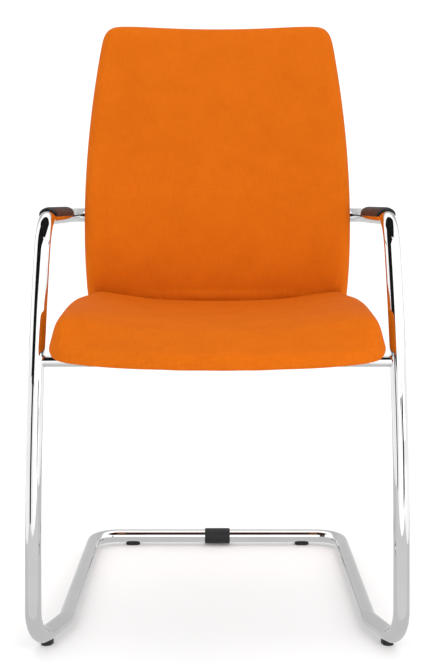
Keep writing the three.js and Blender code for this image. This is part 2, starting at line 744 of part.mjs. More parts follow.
// The panel below the seat, with a rim turned down along its front edge
function underPanel() {
  const stretch = [panelEdgeGap, heelBend.begin - panelEdgeGap];
  const rim = [underRimWidth, underRimWidth + underRimDraft].map((width) => panelEdgeGap + width);
  const rows = tidyStops([...rowsBetween(...stretch), ...rim, ...edgeRows(stretch[0], underPanelCorner, 4)], fitGap);
  const panel = shellBody({ columns: plainColumnShares, rows, stretch, corners: [underPanelCorner, 0],
    halfWidth: panelHalfWidth,
    upper: () => -shellHalf - fitGap,
    lower: (share, s) => underPanelLevel - (s < rim[1] - fitGap ? underRimDrop : 0) });
  return cut(panel, seatFixings.map(throughHole));
}

function backPanel() {
  const panel = shellLayer(backPanelStretch, [0, shellCornerRadius], panelHalfWidth,
    [panelLevel, -shellHalf - fitGap]);
  return cut(panel, backFixings.map(throughHole));
}

function seatCushion() {
  const stretch = [-frontWrap, crease - creaseGap / 2];
  const rows = tidyStops([...edgeRows(stretch[0], seatFrontReach, 5), ...evenRows(...stretch, 9),
    ...edgeRows(stretch[0], seatCornerRadius, 4), ...edgeRows(stretch[1], -creaseReach, 3),
    ...shellRoute.rings(heelBend.begin, stretch[1])], rowLeast);
  const pad = shellBody({ columns: columnShares, rows, stretch, corners: [seatCornerRadius, 0],
    halfWidth: cushionHalfWidth,
    upper: (share, s, { side, low, high }) => {
      const top = shellHalf + seatFoam + seatDish * share ** 2;
      const drop = Math.max(edgeDropShare(side / seatSideReach), edgeDropShare(low / seatFrontReach));
      return top + (seatNose - top) * drop - creaseRise * edgeDropShare(high / creaseReach);
    },
    lower: (share, s, { side, low }) => {
      const lip = underPanelLevel - seatLipDrop * (1 - share ** 2) * Math.max(0, 1 - low / seatLipReach);
      return lip + (seatNose - seatNoseLand - lip) * edgeDropShare(Math.min(side, low) / seatLowerReach);
    } });
  const pocket = shellLayer([0, crease + cutOverrun], [shellCornerRadius, 0], shellHalfWidth, pocketLevels,
    { grow: 2 * fitGap, slide: -fitGap });
  return cut(pad, [pocket]);
}

function backCushion() {
  const stretch = [crease + creaseGap / 2, shellRoute.length + topWrap];
  const rows = tidyStops([...edgeRows(stretch[1], -backEdgeReach, 4), ...evenRows(...stretch, 10),
    ...edgeRows(stretch[1], -backCornerRadius, 4), ...edgeRows(stretch[0], creaseReach, 3),
    ...shellRoute.rings(stretch[0], heelBend.end)], rowLeast);
  const pad = shellBody({ columns: columnShares, rows, stretch, corners: [0, backCornerRadius],
    halfWidth: cushionHalfWidth,
    upper: (share, s, { side, low, high }) => {
      const face = shellHalf + backFoam;
      return face + (backNose - face) * edgeDropShare(Math.min(side, high) / backEdgeReach)
        - creaseRise * edgeDropShare(low / creaseReach);
    },
    lower: (share, s, { side, high }) => {
      const lip = -(shellHalf + backLip);
      return lip + (backNose - backNoseLand - lip) * edgeDropShare(Math.min(side, high) / backRearReach);
    } });
  const pocket = shellLayer([crease - cutOverrun, shellRoute.length], [0, shellCornerRadius], shellHalfWidth,
    pocketLevels, { grow: 2 * fitGap, slide: fitGap });
  return cut(pad, [pocket]);
}

// Finishes
const chrome = () => new THREE.MeshStandardMaterial({ color: 0xd8dadc, roughness: 0.08, metalness: 1 });
const zinc = () => new THREE.MeshStandardMaterial({ color: 0x8d9094, roughness: 0.4, metalness: 1 });
const blackPlastic = () => new THREE.MeshStandardMaterial({ color: 0x1d1d1f, roughness: 0.55, metalness: 0 });
const orangeCloth = () => new THREE.MeshStandardMaterial({ color: 0xe26e1a, roughness: 0.9, metalness: 0 });
const plywood = () => new THREE.MeshStandardMaterial({ color: 0xc9a26b, roughness: 0.7, metalness: 0 });

// The chair, centred over the middle of its length
const chair = new THREE.Group();
function add(name, geometry, finish) {
  const mesh = new THREE.Mesh(geometry, finish());
  mesh.name = name;
  chair.add(mesh);
}
function addPair(name, geometry, finish) {
  add(`${name}_left`, geometry, finish);
  add(`${name}_right`, mirrored(geometry), finish);
}

addPair('frame', frameHalf(), chrome);
add('joint_dowel', jointDowel(), zinc);
addPair('joint_screw', jointScrew(0), zinc);
add('joint_sleeve', jointSleeve(), blackPlastic);
add('seat_cross_tube', crossTube(), chrome);
addPair('seat_bracket', seatBracket(), zinc);

addPair('front_glide', glide(frontGlideSpot, frontGlideLength, [kinkBend.end, footBend.end]), blackPlastic);
addPair('rear_glide', glide(rearGlideSpot, rearGlideLength, [0, rearBend.end]), blackPlastic);

addPair('arm_pad', armPad(), blackPlastic);
addPair('arm_pad_screw_front', padScrew(padPegs[0]), zinc);
addPair('arm_pad_screw_rear', padScrew(padPegs[1]), zinc);
addPair('tube_cap', tubeCap(), blackPlastic);

add('seat_shell', seatShell(), plywood);
add('under_panel', underPanel(), blackPlastic);
add('back_panel', backPanel(), orangeCloth);
addPair('back_spacer', backSpacer(), blackPlastic);
for (const { name, head, flange, direction } of seatFixings) {
  add(`seat_screw_${name}`, capScrew(head, direction, head.distanceTo(flange), screwHeadDiameter,
    screwHeadHeight, screwShankDiameter), zinc);
  add(`seat_insert_${name}`, insertAt(flange, direction), zinc);
}
for (const { name, head, flange, direction } of backFixings) {
  add(`back_screw_${name}`, capScrew(head, direction, head.distanceTo(flange), screwHeadDiameter,
    screwHeadHeight, screwShankDiameter), zinc);
  add(`back_insert_${name}`, insertAt(flange, direction), zinc);
}
add('seat_cushion', seatCushion(), orangeCloth);
add('back_cushion', backCushion(), orangeCloth);

const rearReach = baseDepth + sleeveDiameter / 2;
chair.position.y = (seatOverhang - rearReach) / 2;

export default chair;
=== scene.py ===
"""Looks of a sled base visitor chair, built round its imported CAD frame.

Every length in the dataclass fields is in millimetres, in the CAD model's own frame, and turns into
metres where a mesh is made.
"""

import logging
import math
from abc import ABC, abstractmethod
from dataclasses import dataclass
from enum import Enum
from typing import Sequence

import bmesh
import bpy
from mathutils import Matrix, Vector
from mathutils.bvhtree import BVHTree


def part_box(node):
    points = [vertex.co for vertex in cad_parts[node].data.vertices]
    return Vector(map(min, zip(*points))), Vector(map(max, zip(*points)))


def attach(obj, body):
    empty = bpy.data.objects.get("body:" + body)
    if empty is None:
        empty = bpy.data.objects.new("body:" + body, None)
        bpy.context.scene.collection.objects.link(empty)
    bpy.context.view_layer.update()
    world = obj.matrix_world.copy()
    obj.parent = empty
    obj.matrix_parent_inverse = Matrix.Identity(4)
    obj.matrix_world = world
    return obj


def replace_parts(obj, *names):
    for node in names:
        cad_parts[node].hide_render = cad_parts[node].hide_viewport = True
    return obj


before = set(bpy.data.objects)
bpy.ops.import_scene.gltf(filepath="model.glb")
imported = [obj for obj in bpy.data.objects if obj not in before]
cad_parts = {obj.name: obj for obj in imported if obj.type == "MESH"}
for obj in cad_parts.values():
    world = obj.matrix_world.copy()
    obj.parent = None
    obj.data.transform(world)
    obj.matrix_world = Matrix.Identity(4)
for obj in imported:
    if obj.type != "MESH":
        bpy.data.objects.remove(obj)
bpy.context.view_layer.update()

Tree = bpy.types.NodeTree
Socket = bpy.types.NodeSocket
Mesh = bmesh.types.BMesh
Object = bpy.types.Object
Material = bpy.types.Material
Node = bpy.types.Node
Pair = tuple[float, float]
Tones = tuple[str, str]
Rest = tuple[tuple[str, object], ...]
# What varies over a finish: its tone, its roughness and its height.
Patterns = tuple[Socket, Socket, Socket]

MM = 0.001
BODY = "root"
ACROSS = Vector((1.0, 0.0, 0.0))
DEPTH = Vector((0.0, 1.0, 0.0))
UP = Vector((0.0, 0.0, 1.0))
# The foot axis of the CAD model stands this far from the middle of its box.
FOOT_AXIS = -247.25
# Sides of the round parts: the frame's tubes, the cross tube with its beads, and the screws.
TUBE_SIDES, CROSS_SIDES, SCREW_SIDES = 40, 32, 24
HEXAGON = 6
# Swept points that are closer than this are one.
SAME_POINT = 0.001
# A noise seldom leaves this range.
NOISE_RANGE = (0.3, 0.7)
# A Mix node's colour sockets go by number, as other kinds of data have the same names.
MIX_SHARE, MIX_FIRST, MIX_SECOND, MIX_RESULT = 0, 6, 7, 2

log = logging.getLogger("visitor_chair")


class Side(Enum):
    """The two sides of the chair, as the photograph shows them, with the sign of X there."""

    LEFT = -1
    RIGHT = 1

    @property
    def word(self) -> str:
        """The side's name as the CAD nodes give it."""
        return self.name.lower()


# ---- nodes and colours


def linear(hex_colour: str) -> tuple[float, float, float, float]:
    """Turns an sRGB hex colour into the linear colour that a shader takes, by the standard's curve.

    Args:
        hex_colour: Six hex digits.

    Returns:
        Red, green, blue and an alpha of one.
    """
    shares = [int(hex_colour[i : i + 2], 16) / 255 for i in (0, 2, 4)]
    low = [s / 12.92 if s <= 0.04045 else ((s + 0.055) / 1.055) ** 2.4 for s in shares]
    return low[0], low[1], low[2], 1.0


def feed(tree: Tree, node: Node, sockets: dict) -> None:
    """Sets or links a node's input sockets.

    Args:
        tree: The node tree.
        node: The node.
        sockets: Input name or number to a value, or to the output socket that feeds it.
    """
    for key, value in sockets.items():
        if isinstance(value, Socket):
            tree.links.new(value, node.inputs[key])
        else:
            node.inputs[key].default_value = value


def add_node(tree: Tree, kind: str, sockets: dict | None = None, **settings: object) -> Node:
    """Adds one node with its settings, its fixed values and its links.

    Args:
        tree: The node tree that takes the node.
        kind: Blender's name of the node type.
        sockets: What feeds its inputs.
        settings: Properties of the node itself.

    Returns:
        The new node.
    """
    node = tree.nodes.new(kind)
    for name, value in settings.items():
        setattr(node, name, value)
    feed(tree, node, sockets or {})
    return node


def new_material(name: str) -> tuple[Material, Tree, Node]:
    """Makes an empty node material.

    Args:
        name: The finish's name.

    Returns:
        The material, its tree and its Principled shader, already linked to the output.
    """
    material = bpy.data.materials.new(name)
    material.use_nodes = True
    tree = material.node_tree
    tree.nodes.clear()
    shader = add_node(tree, "ShaderNodeBsdfPrincipled")
    add_node(tree, "ShaderNodeOutputMaterial", {"Surface": shader.outputs[0]})
    return material, tree, shader


def object_point(tree: Tree, stretch: Sequence[float] = (1, 1, 1)) -> Socket:
    """The surface point in object coordinates, multiplied by a stretch.

    Args:
        tree: The node tree.
        stretch: A factor for each axis, so that a pattern can run along one of them.

    Returns:
        The vector socket.
    """
    place = add_node(tree, "ShaderNodeTexCoord").outputs["Object"]
    sockets = {"Vector": place, "Scale": tuple(stretch)}
    return add_node(tree, "ShaderNodeMapping", sockets).outputs[0]


def noise(
    tree: Tree, size: float, detail: float = 2.0, stretch: Sequence[float] = (1, 1, 1)
) -> Socket:
    """Noise whose blotches are about one real size across.

    Args:
        tree: The node tree.
        size: The size of a blotch in millimetres.
        detail: How many finer layers lie on it.
        stretch: A factor for each axis.

    Returns:
        The noise's value, from 0 to 1.
    """
    sockets = {"Vector": object_point(tree, stretch), "Scale": 1 / (size * MM), "Detail": detail}
    return add_node(tree, "ShaderNodeTexNoise", sockets).outputs[0]


def ranged(tree: Tree, value: Socket, low: float = 0.0, high: float = 1.0) -> Socket:
    """Brings a noise's usual range to a range of its own.

    Args:
        tree: The node tree.
        value: The noise.
        low: What the low end becomes.
        high: What the high end becomes.

    Returns:
        The new value.
    """
    start, end = NOISE_RANGE
    sockets = {"Value": value, "From Min": start, "From Max": end, "To Min": low, "To Max": high}
    return add_node(tree, "ShaderNodeMapRange", sockets).outputs[0]


def two_tone(tree: Tree, pattern: Socket, first: str, second: str) -> Socket:
    """Mixes two hex colours by a noise.

    Args:
        tree: The node tree.
        pattern: The noise.
        first: The colour at its low end.
        second: The colour at its high end.

    Returns:
        The mixed colour.
    """
    share = ranged(tree, pattern)
    sockets = {MIX_SHARE: share, MIX_FIRST: linear(first), MIX_SECOND: linear(second)}
    mix = add_node(tree, "ShaderNodeMix", sockets, data_type="RGBA", clamp_factor=True)
    return mix.outputs[MIX_RESULT]


def sums(tree: Tree, operation: str, first: object, second: object = 0.0) -> Socket:
    """One step of arithmetic.

    Args:
        tree: The node tree.
        operation: The Math node's operation.
        first: A number or a socket.
        second: A number or a socket.

    Returns:
        The result.
    """
    return add_node(tree, "ShaderNodeMath", {0: first, 1: second}, operation=operation).outputs[0]


# ---- finishes


@dataclass(frozen=True)
class Finish(ABC):
    """A finish in two tones, with a range of roughness and a relief.

    Args:
        name: The material's name.
        tones: The two hex colours that its tone lies between.
        rough: The roughness at both ends of its wear.
        depth: How high the relief stands, 0 for none.
        shown: How much of the relief is shown.
        rest: Other sockets of the shader with their values.
    """

    name: str
    tones: Tones
    rough: Pair
    depth: float = 0.0
    shown: float = 0.0
    rest: Rest = ()

    @abstractmethod
    def patterns(self, tree: Tree) -> Patterns:
        """Draws the finish's own patterns into its tree."""

    def material(self) -> Material:
        """Makes the finish.

        Returns:
            The material.
        """
        material, tree, shader = new_material(self.name)
        tone, wear, height = self.patterns(tree)
        sockets = {"Base Color": two_tone(tree, tone, *self.tones), **dict(self.rest)}
        sockets["Roughness"] = ranged(tree, wear, *self.rough)
        if self.depth:
            relief = {"Height": height, "Distance": self.depth * MM, "Strength": self.shown}
            sockets["Normal"] = add_node(tree, "ShaderNodeBump", relief).outputs[0]
        feed(tree, shader, sockets)
        return material


@dataclass(frozen=True)
class WovenWool(Finish):
    """Wool-rich upholstery cloth in a plain weave, glued and pulled over moulded foam.

    The eye gets a matt colour with a soft bloom towards the edges, faint slubs along both thread
    directions, and a fine weave close up.
    """

    name: str = "woven_wool_orange"
    tones: Tones = ("C05B0D", "D06712")
    rough: Pair = (0.92, 0.8)
    depth: float = 0.25
    shown: float = 0.5
    rest: Rest = (
        ("Specular IOR Level", 0.015),
        ("Sheen Weight", 0.01),
        ("Sheen Roughness", 0.5),
        ("Sheen Tint", linear("FFC48A")),
    )
    # Real threads lie about half as far apart, but a render wouldn't show them.
    thread: float = 1.4
    slub_length: float = 26.0
    slub_width: float = 1.6
    slub_height: float = 0.8
    slub_share: float = 0.7
    dye: float = 45.0
    dye_share: float = 0.3

    def patterns(self, tree: Tree) -> Patterns:
        """Draws the weave, the slubs of both thread directions and the clouds of the dye.

        Args:
            tree: The node tree.

        Returns:
            The patterns.
        """
        # Threads run across the chair, and along the seat and then up the back.
        parts = add_node(tree, "ShaderNodeSeparateXYZ", {0: object_point(tree)}).outputs
        along = sums(tree, "ADD", parts[1], parts[2])
        turn = math.pi / (self.thread * MM)
        warp = sums(tree, "SINE", sums(tree, "MULTIPLY", parts[0], turn))
        weft = sums(tree, "SINE", sums(tree, "MULTIPLY", along, turn))
        weave = sums(tree, "ABSOLUTE", sums(tree, "MULTIPLY", warp, weft))
        place = add_node(tree, "ShaderNodeCombineXYZ", {0: parts[0], 1: along}).outputs[0]
        slubs = []
        size = (self.slub_width, self.slub_length)
        for across, down in (size, size[::-1]):
            sockets = {0: place, 1: (1 / (across * MM), 1 / (down * MM), 1.0)}
            spot = add_node(tree, "ShaderNodeVectorMath", sockets, operation="MULTIPLY").outputs[0]
            sockets = {"Vector": spot, "Scale": 1.0, "Detail": 1.0}
            slubs.append(add_node(tree, "ShaderNodeTexNoise", sockets).outputs[0])
        slub = sums(tree, "MULTIPLY", sums(tree, "ADD", *slubs), 1 / len(slubs))
        slub_tone = sums(tree, "MULTIPLY", slub, self.slub_share)
        dye_tone = sums(tree, "MULTIPLY", noise(tree, self.dye, 3.0), self.dye_share)
        height = sums(tree, "ADD", weave, sums(tree, "MULTIPLY", slub, self.slub_height))
        return sums(tree, "ADD", slub_tone, dye_tone), slub, height


@dataclass(frozen=True)
class BrightChrome(Finish):
    """Steel tube, polished and then plated with nickel and bright chrome.

    The eye gets a clean mirror of the studio, with the slightest roll of the polishing in it.
    """

    name: str = "bright_chrome_plating"
    tones: Tones = ("DADADA", "DFDFDF")
    rough: Pair = (0.03, 0.06)
    depth: float = 0.05
    shown: float = 0.3
    rest: Rest = (("Metallic", 1.0),)
    polish: float = 55.0
    haze: float = 18.0

    def patterns(self, tree: Tree) -> Patterns:
        """Draws the polishing's waves and the haze."""
        roll = noise(tree, self.polish, 1.0)
        return roll, noise(tree, self.haze, 3.0), roll


@dataclass(frozen=True)
class MouldedPolypropylene(Finish):
    """Black polypropylene from a mould with a fine spark-eroded grain.

    The eye gets a dark satin with a faint speckle in its highlights.
    """

    name: str = "black_polypropylene_grained"
    tones: Tones = ("1F1F20", "2C2C2D")
    rough: Pair = (0.5, 0.63)
    depth: float = 0.04
    shown: float = 0.5
    rest: Rest = (("Specular IOR Level", 0.25),)
    grain: float = 0.5
    cloud: float = 22.0

    def patterns(self, tree: Tree) -> Patterns:
        """Draws the worn spots and the grain."""
        cloud = noise(tree, self.cloud)
        return cloud, cloud, noise(tree, self.grain)


@dataclass(frozen=True)
class ZincPlate(Finish):
    """Steel hardware with bright zinc plating.

    The eye gets a greyish, slightly cloudy metal, duller than the tubes.
    """

    name: str = "zinc_plated_steel"
    tones: Tones = ("C9CCD0", "AEB4BC")
    rough: Pair = (0.28, 0.42)
    depth: float = 0.02
    shown: float = 0.3
    rest: Rest = (("Metallic", 1.0),)
    cloud: float = 3.0
    grit: float = 0.6

    def patterns(self, tree: Tree) -> Patterns:
        """Draws the clouds and the crystals."""
        cloud = noise(tree, self.cloud, 3.0)
        return cloud, cloud, noise(tree, self.grit, 1.0)


@dataclass(frozen=True)
class BeechVeneer(Finish):
    """Moulded plywood of beech veneers, pressed and sanded.

    The eye gets a pale wood with long, thin grain along the seat and up the back.
    """

    name: str = "moulded_beech_plywood"
    tones: Tones = ("A97B47", "C99F6B")
    rough: Pair = (0.6, 0.45)
    depth: float = 0.08
    shown: float = 0.4
    grain_width: float = 1.2
    grain_length: float = 60.0

    def patterns(self, tree: Tree) -> Patterns:
        """Draws the grain."""
        share = self.grain_width / self.grain_length
        grain = noise(tree, self.grain_width, 4.0, (1.0, share, share))
        return grain, grain, grain


@dataclass(frozen=True)
class PaleVinyl(Finish):
    """White vinyl, rolled out on the studio's floor.

    The eye gets a matt, nearly white ground that takes soft shadows.
    """

    name: str = "pale_vinyl_floor"
    tones: Tones = ("F8F8F8", "FBFBFB")
    rough: Pair = (0.7, 0.7)
    rest: Rest = (("Specular IOR Level", 0.1),)
    cloud: float = 400.0

    def patterns(self, tree: Tree) -> Patterns:
        """Draws the clouds."""
        cloud = noise(tree, self.cloud)
        return cloud, cloud, cloud


class Slot(Enum):
    """The record's material slots, each with the finish that dresses it."""

    CHROME = ("tube_chrome", BrightChrome())
    ZINC = ("zinc_steel", ZincPlate())
    PLASTIC = ("black_plastic", MouldedPolypropylene())
    FABRIC = ("orange_fabric", WovenWool())
    PLYWOOD = ("plywood", BeechVeneer())

    @property
    def slot(self) -> str:
        """The slot's name in the record."""
        return self.value[0]

    def material(self) -> Material:
        """The slot's finish, made once."""
        finish = self.value[1]
        return bpy.data.materials.get(finish.name) or finish.material()


# ---- making pieces


def object_from(bm: Mesh, name: str) -> Object:
    """Turns a finished bmesh into an object of the scene.

    Args:
        bm: The mesh, in metres and in place. It is freed.
        name: The object's name.

    Returns:
        The object.
    """
    mesh = bpy.data.meshes.new(name)
    bm.to_mesh(mesh)
    bm.free()
    made = bpy.data.objects.new(name, mesh)
    bpy.context.scene.collection.objects.link(made)
    return made


def piece_from(bm: Mesh, name: str, slot: Slot, sharp: float = 35.0) -> Object:
    """Turns a finished bmesh into a piece on the chair's body.

    Args:
        bm: The mesh, in metres and in place. It is freed.
        name: The piece's name.
        slot: The finish.
        sharp: The angle in degrees past which an edge is shaded sharp.

    Returns:
        The piece.
    """
    limit = math.radians(sharp)
    for face in bm.faces:
        face.smooth = True
    for edge in bm.edges:
        edge.smooth = len(edge.link_faces) == 2 and edge.calc_face_angle(0.0) < limit
    piece = object_from(bm, name)
    piece.data.materials.append(slot.material())
    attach(piece, BODY)
    log.info("%s: %d faces", name, len(piece.data.polygons))
    return piece


def node_copy(node: str, weld: float = 0.01) -> Mesh:
    """A copy of a CAD node's mesh with its loose triangles merged.

    Args:
        node: The CAD node.
        weld: Points closer than this, in millimetres, become one.

    Returns:
        The mesh.
    """
    bm = bmesh.new()
    bm.from_mesh(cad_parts[node].data)
    bmesh.ops.remove_doubles(bm, verts=bm.verts, dist=weld * MM)
    bmesh.ops.recalc_face_normals(bm, faces=bm.faces)
    return bm


def on_side(bm: Mesh, side: Side) -> Mesh:
    """Mirrors a mesh of the left side over the middle plane, where the right one is wanted.

    Args:
        bm: The left mesh, which is changed.
        side: The side that is wanted.

    Returns:
        The same mesh.
    """
    if side is Side.RIGHT:
        bmesh.ops.scale(bm, vec=(-1.0, 1.0, 1.0), verts=bm.verts)
        bmesh.ops.recalc_face_normals(bm, faces=bm.faces)
    return bm


def smoothed(bm: Mesh, verts: Sequence[bmesh.types.BMVert], times: int) -> None:
    """Evens a cover out, as its own tension does.

    Args:
        bm: The mesh.
        verts: The points that move half way towards the middle of their neighbours.
        times: How often.
    """
    for _ in range(times):
        bmesh.ops.smooth_vert(
            bm, verts=verts, factor=0.5, use_axis_x=True, use_axis_y=True, use_axis_z=True
        )


def with_modifier(piece: Object, kind: str, **settings: object) -> Object:
    """Adds a modifier and applies it to the piece's mesh.

    Args:
        piece: The piece.
        kind: Blender's name of the modifier type.
        settings: The modifier's properties.

    Returns:
        The piece.
    """
    modifier = piece.modifiers.new(kind.lower(), kind)
    for name, value in settings.items():
        setattr(modifier, name, value)
    graph = bpy.context.evaluated_depsgraph_get()
    mesh = bpy.data.meshes.new_from_object(piece.evaluated_get(graph), depsgraph=graph)
    piece.modifiers.remove(modifier)
    old = piece.data
    piece.data = mesh
    bpy.data.meshes.remove(old)
    return piece


@dataclass(frozen=True)
class Ramp:
    """A smooth step from 0 to 1.

    Args:
        start: Where it leaves 0.
        end: Where it reaches 1, on either side of the start.
    """

    start: float
    end: float

    def at(self, value: float) -> float:
        """How far the step has risen at a value."""
        share = min(max((value - self.start) / (self.end - self.start), 0.0), 1.0)
        return share * share * (3.0 - 2.0 * share)


@dataclass(frozen=True)
class Zone:
    """A part of a cushion with soft borders.

    Args:
        aside: Steps over the distance from the chair's middle plane.
        back: Steps over Y.
        high: Steps over the height.
    """

    aside: tuple[Ramp, ...] = ()
    back: tuple[Ramp, ...] = ()
    high: tuple[Ramp, ...] = ()

    def share(self, at: Vector) -> float:
        """How far a point lies inside the zone, from 0 to 1."""
        steps = ((at.y, self.back), (abs(at.x), self.aside), (at.z, self.high))
        return math.prod(ramp.at(value) for value, ramps in steps for ramp in ramps)


@dataclass(frozen=True)
class Corner:
    """A corner of a bent tube's axis, where two straight runs would meet.

    Args:
        at: The corner, in millimetres.
        radius: The bend's centre line radius, 0 at the ends of the tube.
    """

    at: Vector
    radius: float = 0.0


@dataclass(frozen=True)
class Run:
    """One straight run or bend of a tube's axis.

    Args:
        length: Its length in millimetres.
        travel: The straight run's direction, or None for a bend.
        centre: The bend's centre.
        axis: The bend's axis.
        angle: The bend's angle in radians.
    """

    length: float
    travel: Vector | None = None
    centre: Vector | None = None
    axis: Vector | None = None
    angle: float = 0.0


class TubeRoute:
    """The axis of a bent tube: straight runs and round bends between its corners."""

    def __init__(self, corners: Sequence[Corner]) -> None:
        """Works the runs out from the corners.

        Args:
            corners: The corners, end to end.
        """
        self.start = corners[0].at.copy()
        self.first = (corners[1].at - corners[0].at).normalized()
        self.runs: list[Run] = []
        here = self.start
        for before, corner, after in zip(corners, corners[1:], corners[2:]):
            into = (corner.at - before.at).normalized()
            out = (after.at - corner.at).normalized()
            turn = into.angle(out)
            reach = corner.radius * math.tan(turn / 2)
            tangent = corner.at - into * reach
            self.runs.append(Run((tangent - here).length, travel=into))
            axis = into.cross(out).normalized()
            centre = tangent + axis.cross(into) * corner.radius
            self.runs.append(Run(corner.radius * turn, None, centre, axis, turn))
            here = corner.at + out * reach
        end = corners[-1].at
        self.runs.append(Run((end - here).length, travel=(end - here).normalized()))

    def sweep(self, bm: Mesh, edges: list, facet_angle: float, facet: float) -> None:
        """Draws a profile along the whole axis.

        Args:
            bm: The mesh.
            edges: The profile's edges, already standing at the axis' start.
            facet_angle: The largest angle of one facet of a bend, in degrees.
            facet: The largest length of one facet of a bend, in millimetres.
        """
        for run in self.runs:
            if run.travel is not None:
                edges = extruded(bm, edges, run.travel * run.length)
                continue
            fine = max(math.degrees(run.angle) / facet_angle, run.length / facet)
            made = bmesh.ops.spin(
                bm,
                geom=edges,
                cent=run.centre * MM,
                axis=run.axis,
                angle=run.angle,
                steps=math.ceil(fine),
            )["geom_last"]
            edges = [g for g in made if isinstance(g, bmesh.types.BMEdge)]


def ring_at(
    bm: Mesh, at: Vector, along: Vector, radius: float, sides: int, corners: int = 0
) -> list:
    """Adds a circle of edges across an axis, or a polygon.

    Args:
        bm: The mesh.
        at: The circle's centre in millimetres.
        along: The axis.
        radius: Its radius in millimetres, to the corners of a polygon.
        sides: How many edges it has.
        corners: How many corners it has, 0 for a circle.

    Returns:
        The circle's edges.
    """
    place = Matrix.Translation(at * MM) @ along.to_track_quat("Z", "Y").to_matrix().to_4x4()
    made = bmesh.ops.create_circle(bm, segments=sides, radius=radius * MM, matrix=place)["verts"]
    for number, vert in enumerate(made):
        if corners:
            flat = math.pi / corners
            turn = number * 2 * math.pi / sides % (2 * flat) - flat
            vert.co = (at * MM).lerp(vert.co, math.cos(flat) / math.cos(turn))
    return list({edge for vert in made for edge in vert.link_edges})


def extruded(bm: Mesh, edges: list, way: Vector) -> list:
    """Extrudes edges by a straight way.

    Args:
        bm: The mesh.
        edges: The edges.
        way: The way in millimetres.

    Returns:
        The edges at the far end.
    """
    made = bmesh.ops.extrude_edge_only(bm, edges=edges)["geom"]
    verts = {g for g in made if isinstance(g, bmesh.types.BMVert)}
    bmesh.ops.translate(bm, verts=list(verts), vec=way * MM)
    return [g for g in made if isinstance(g, bmesh.types.BMEdge) and set(g.verts) <= verts]


# ---- the frame


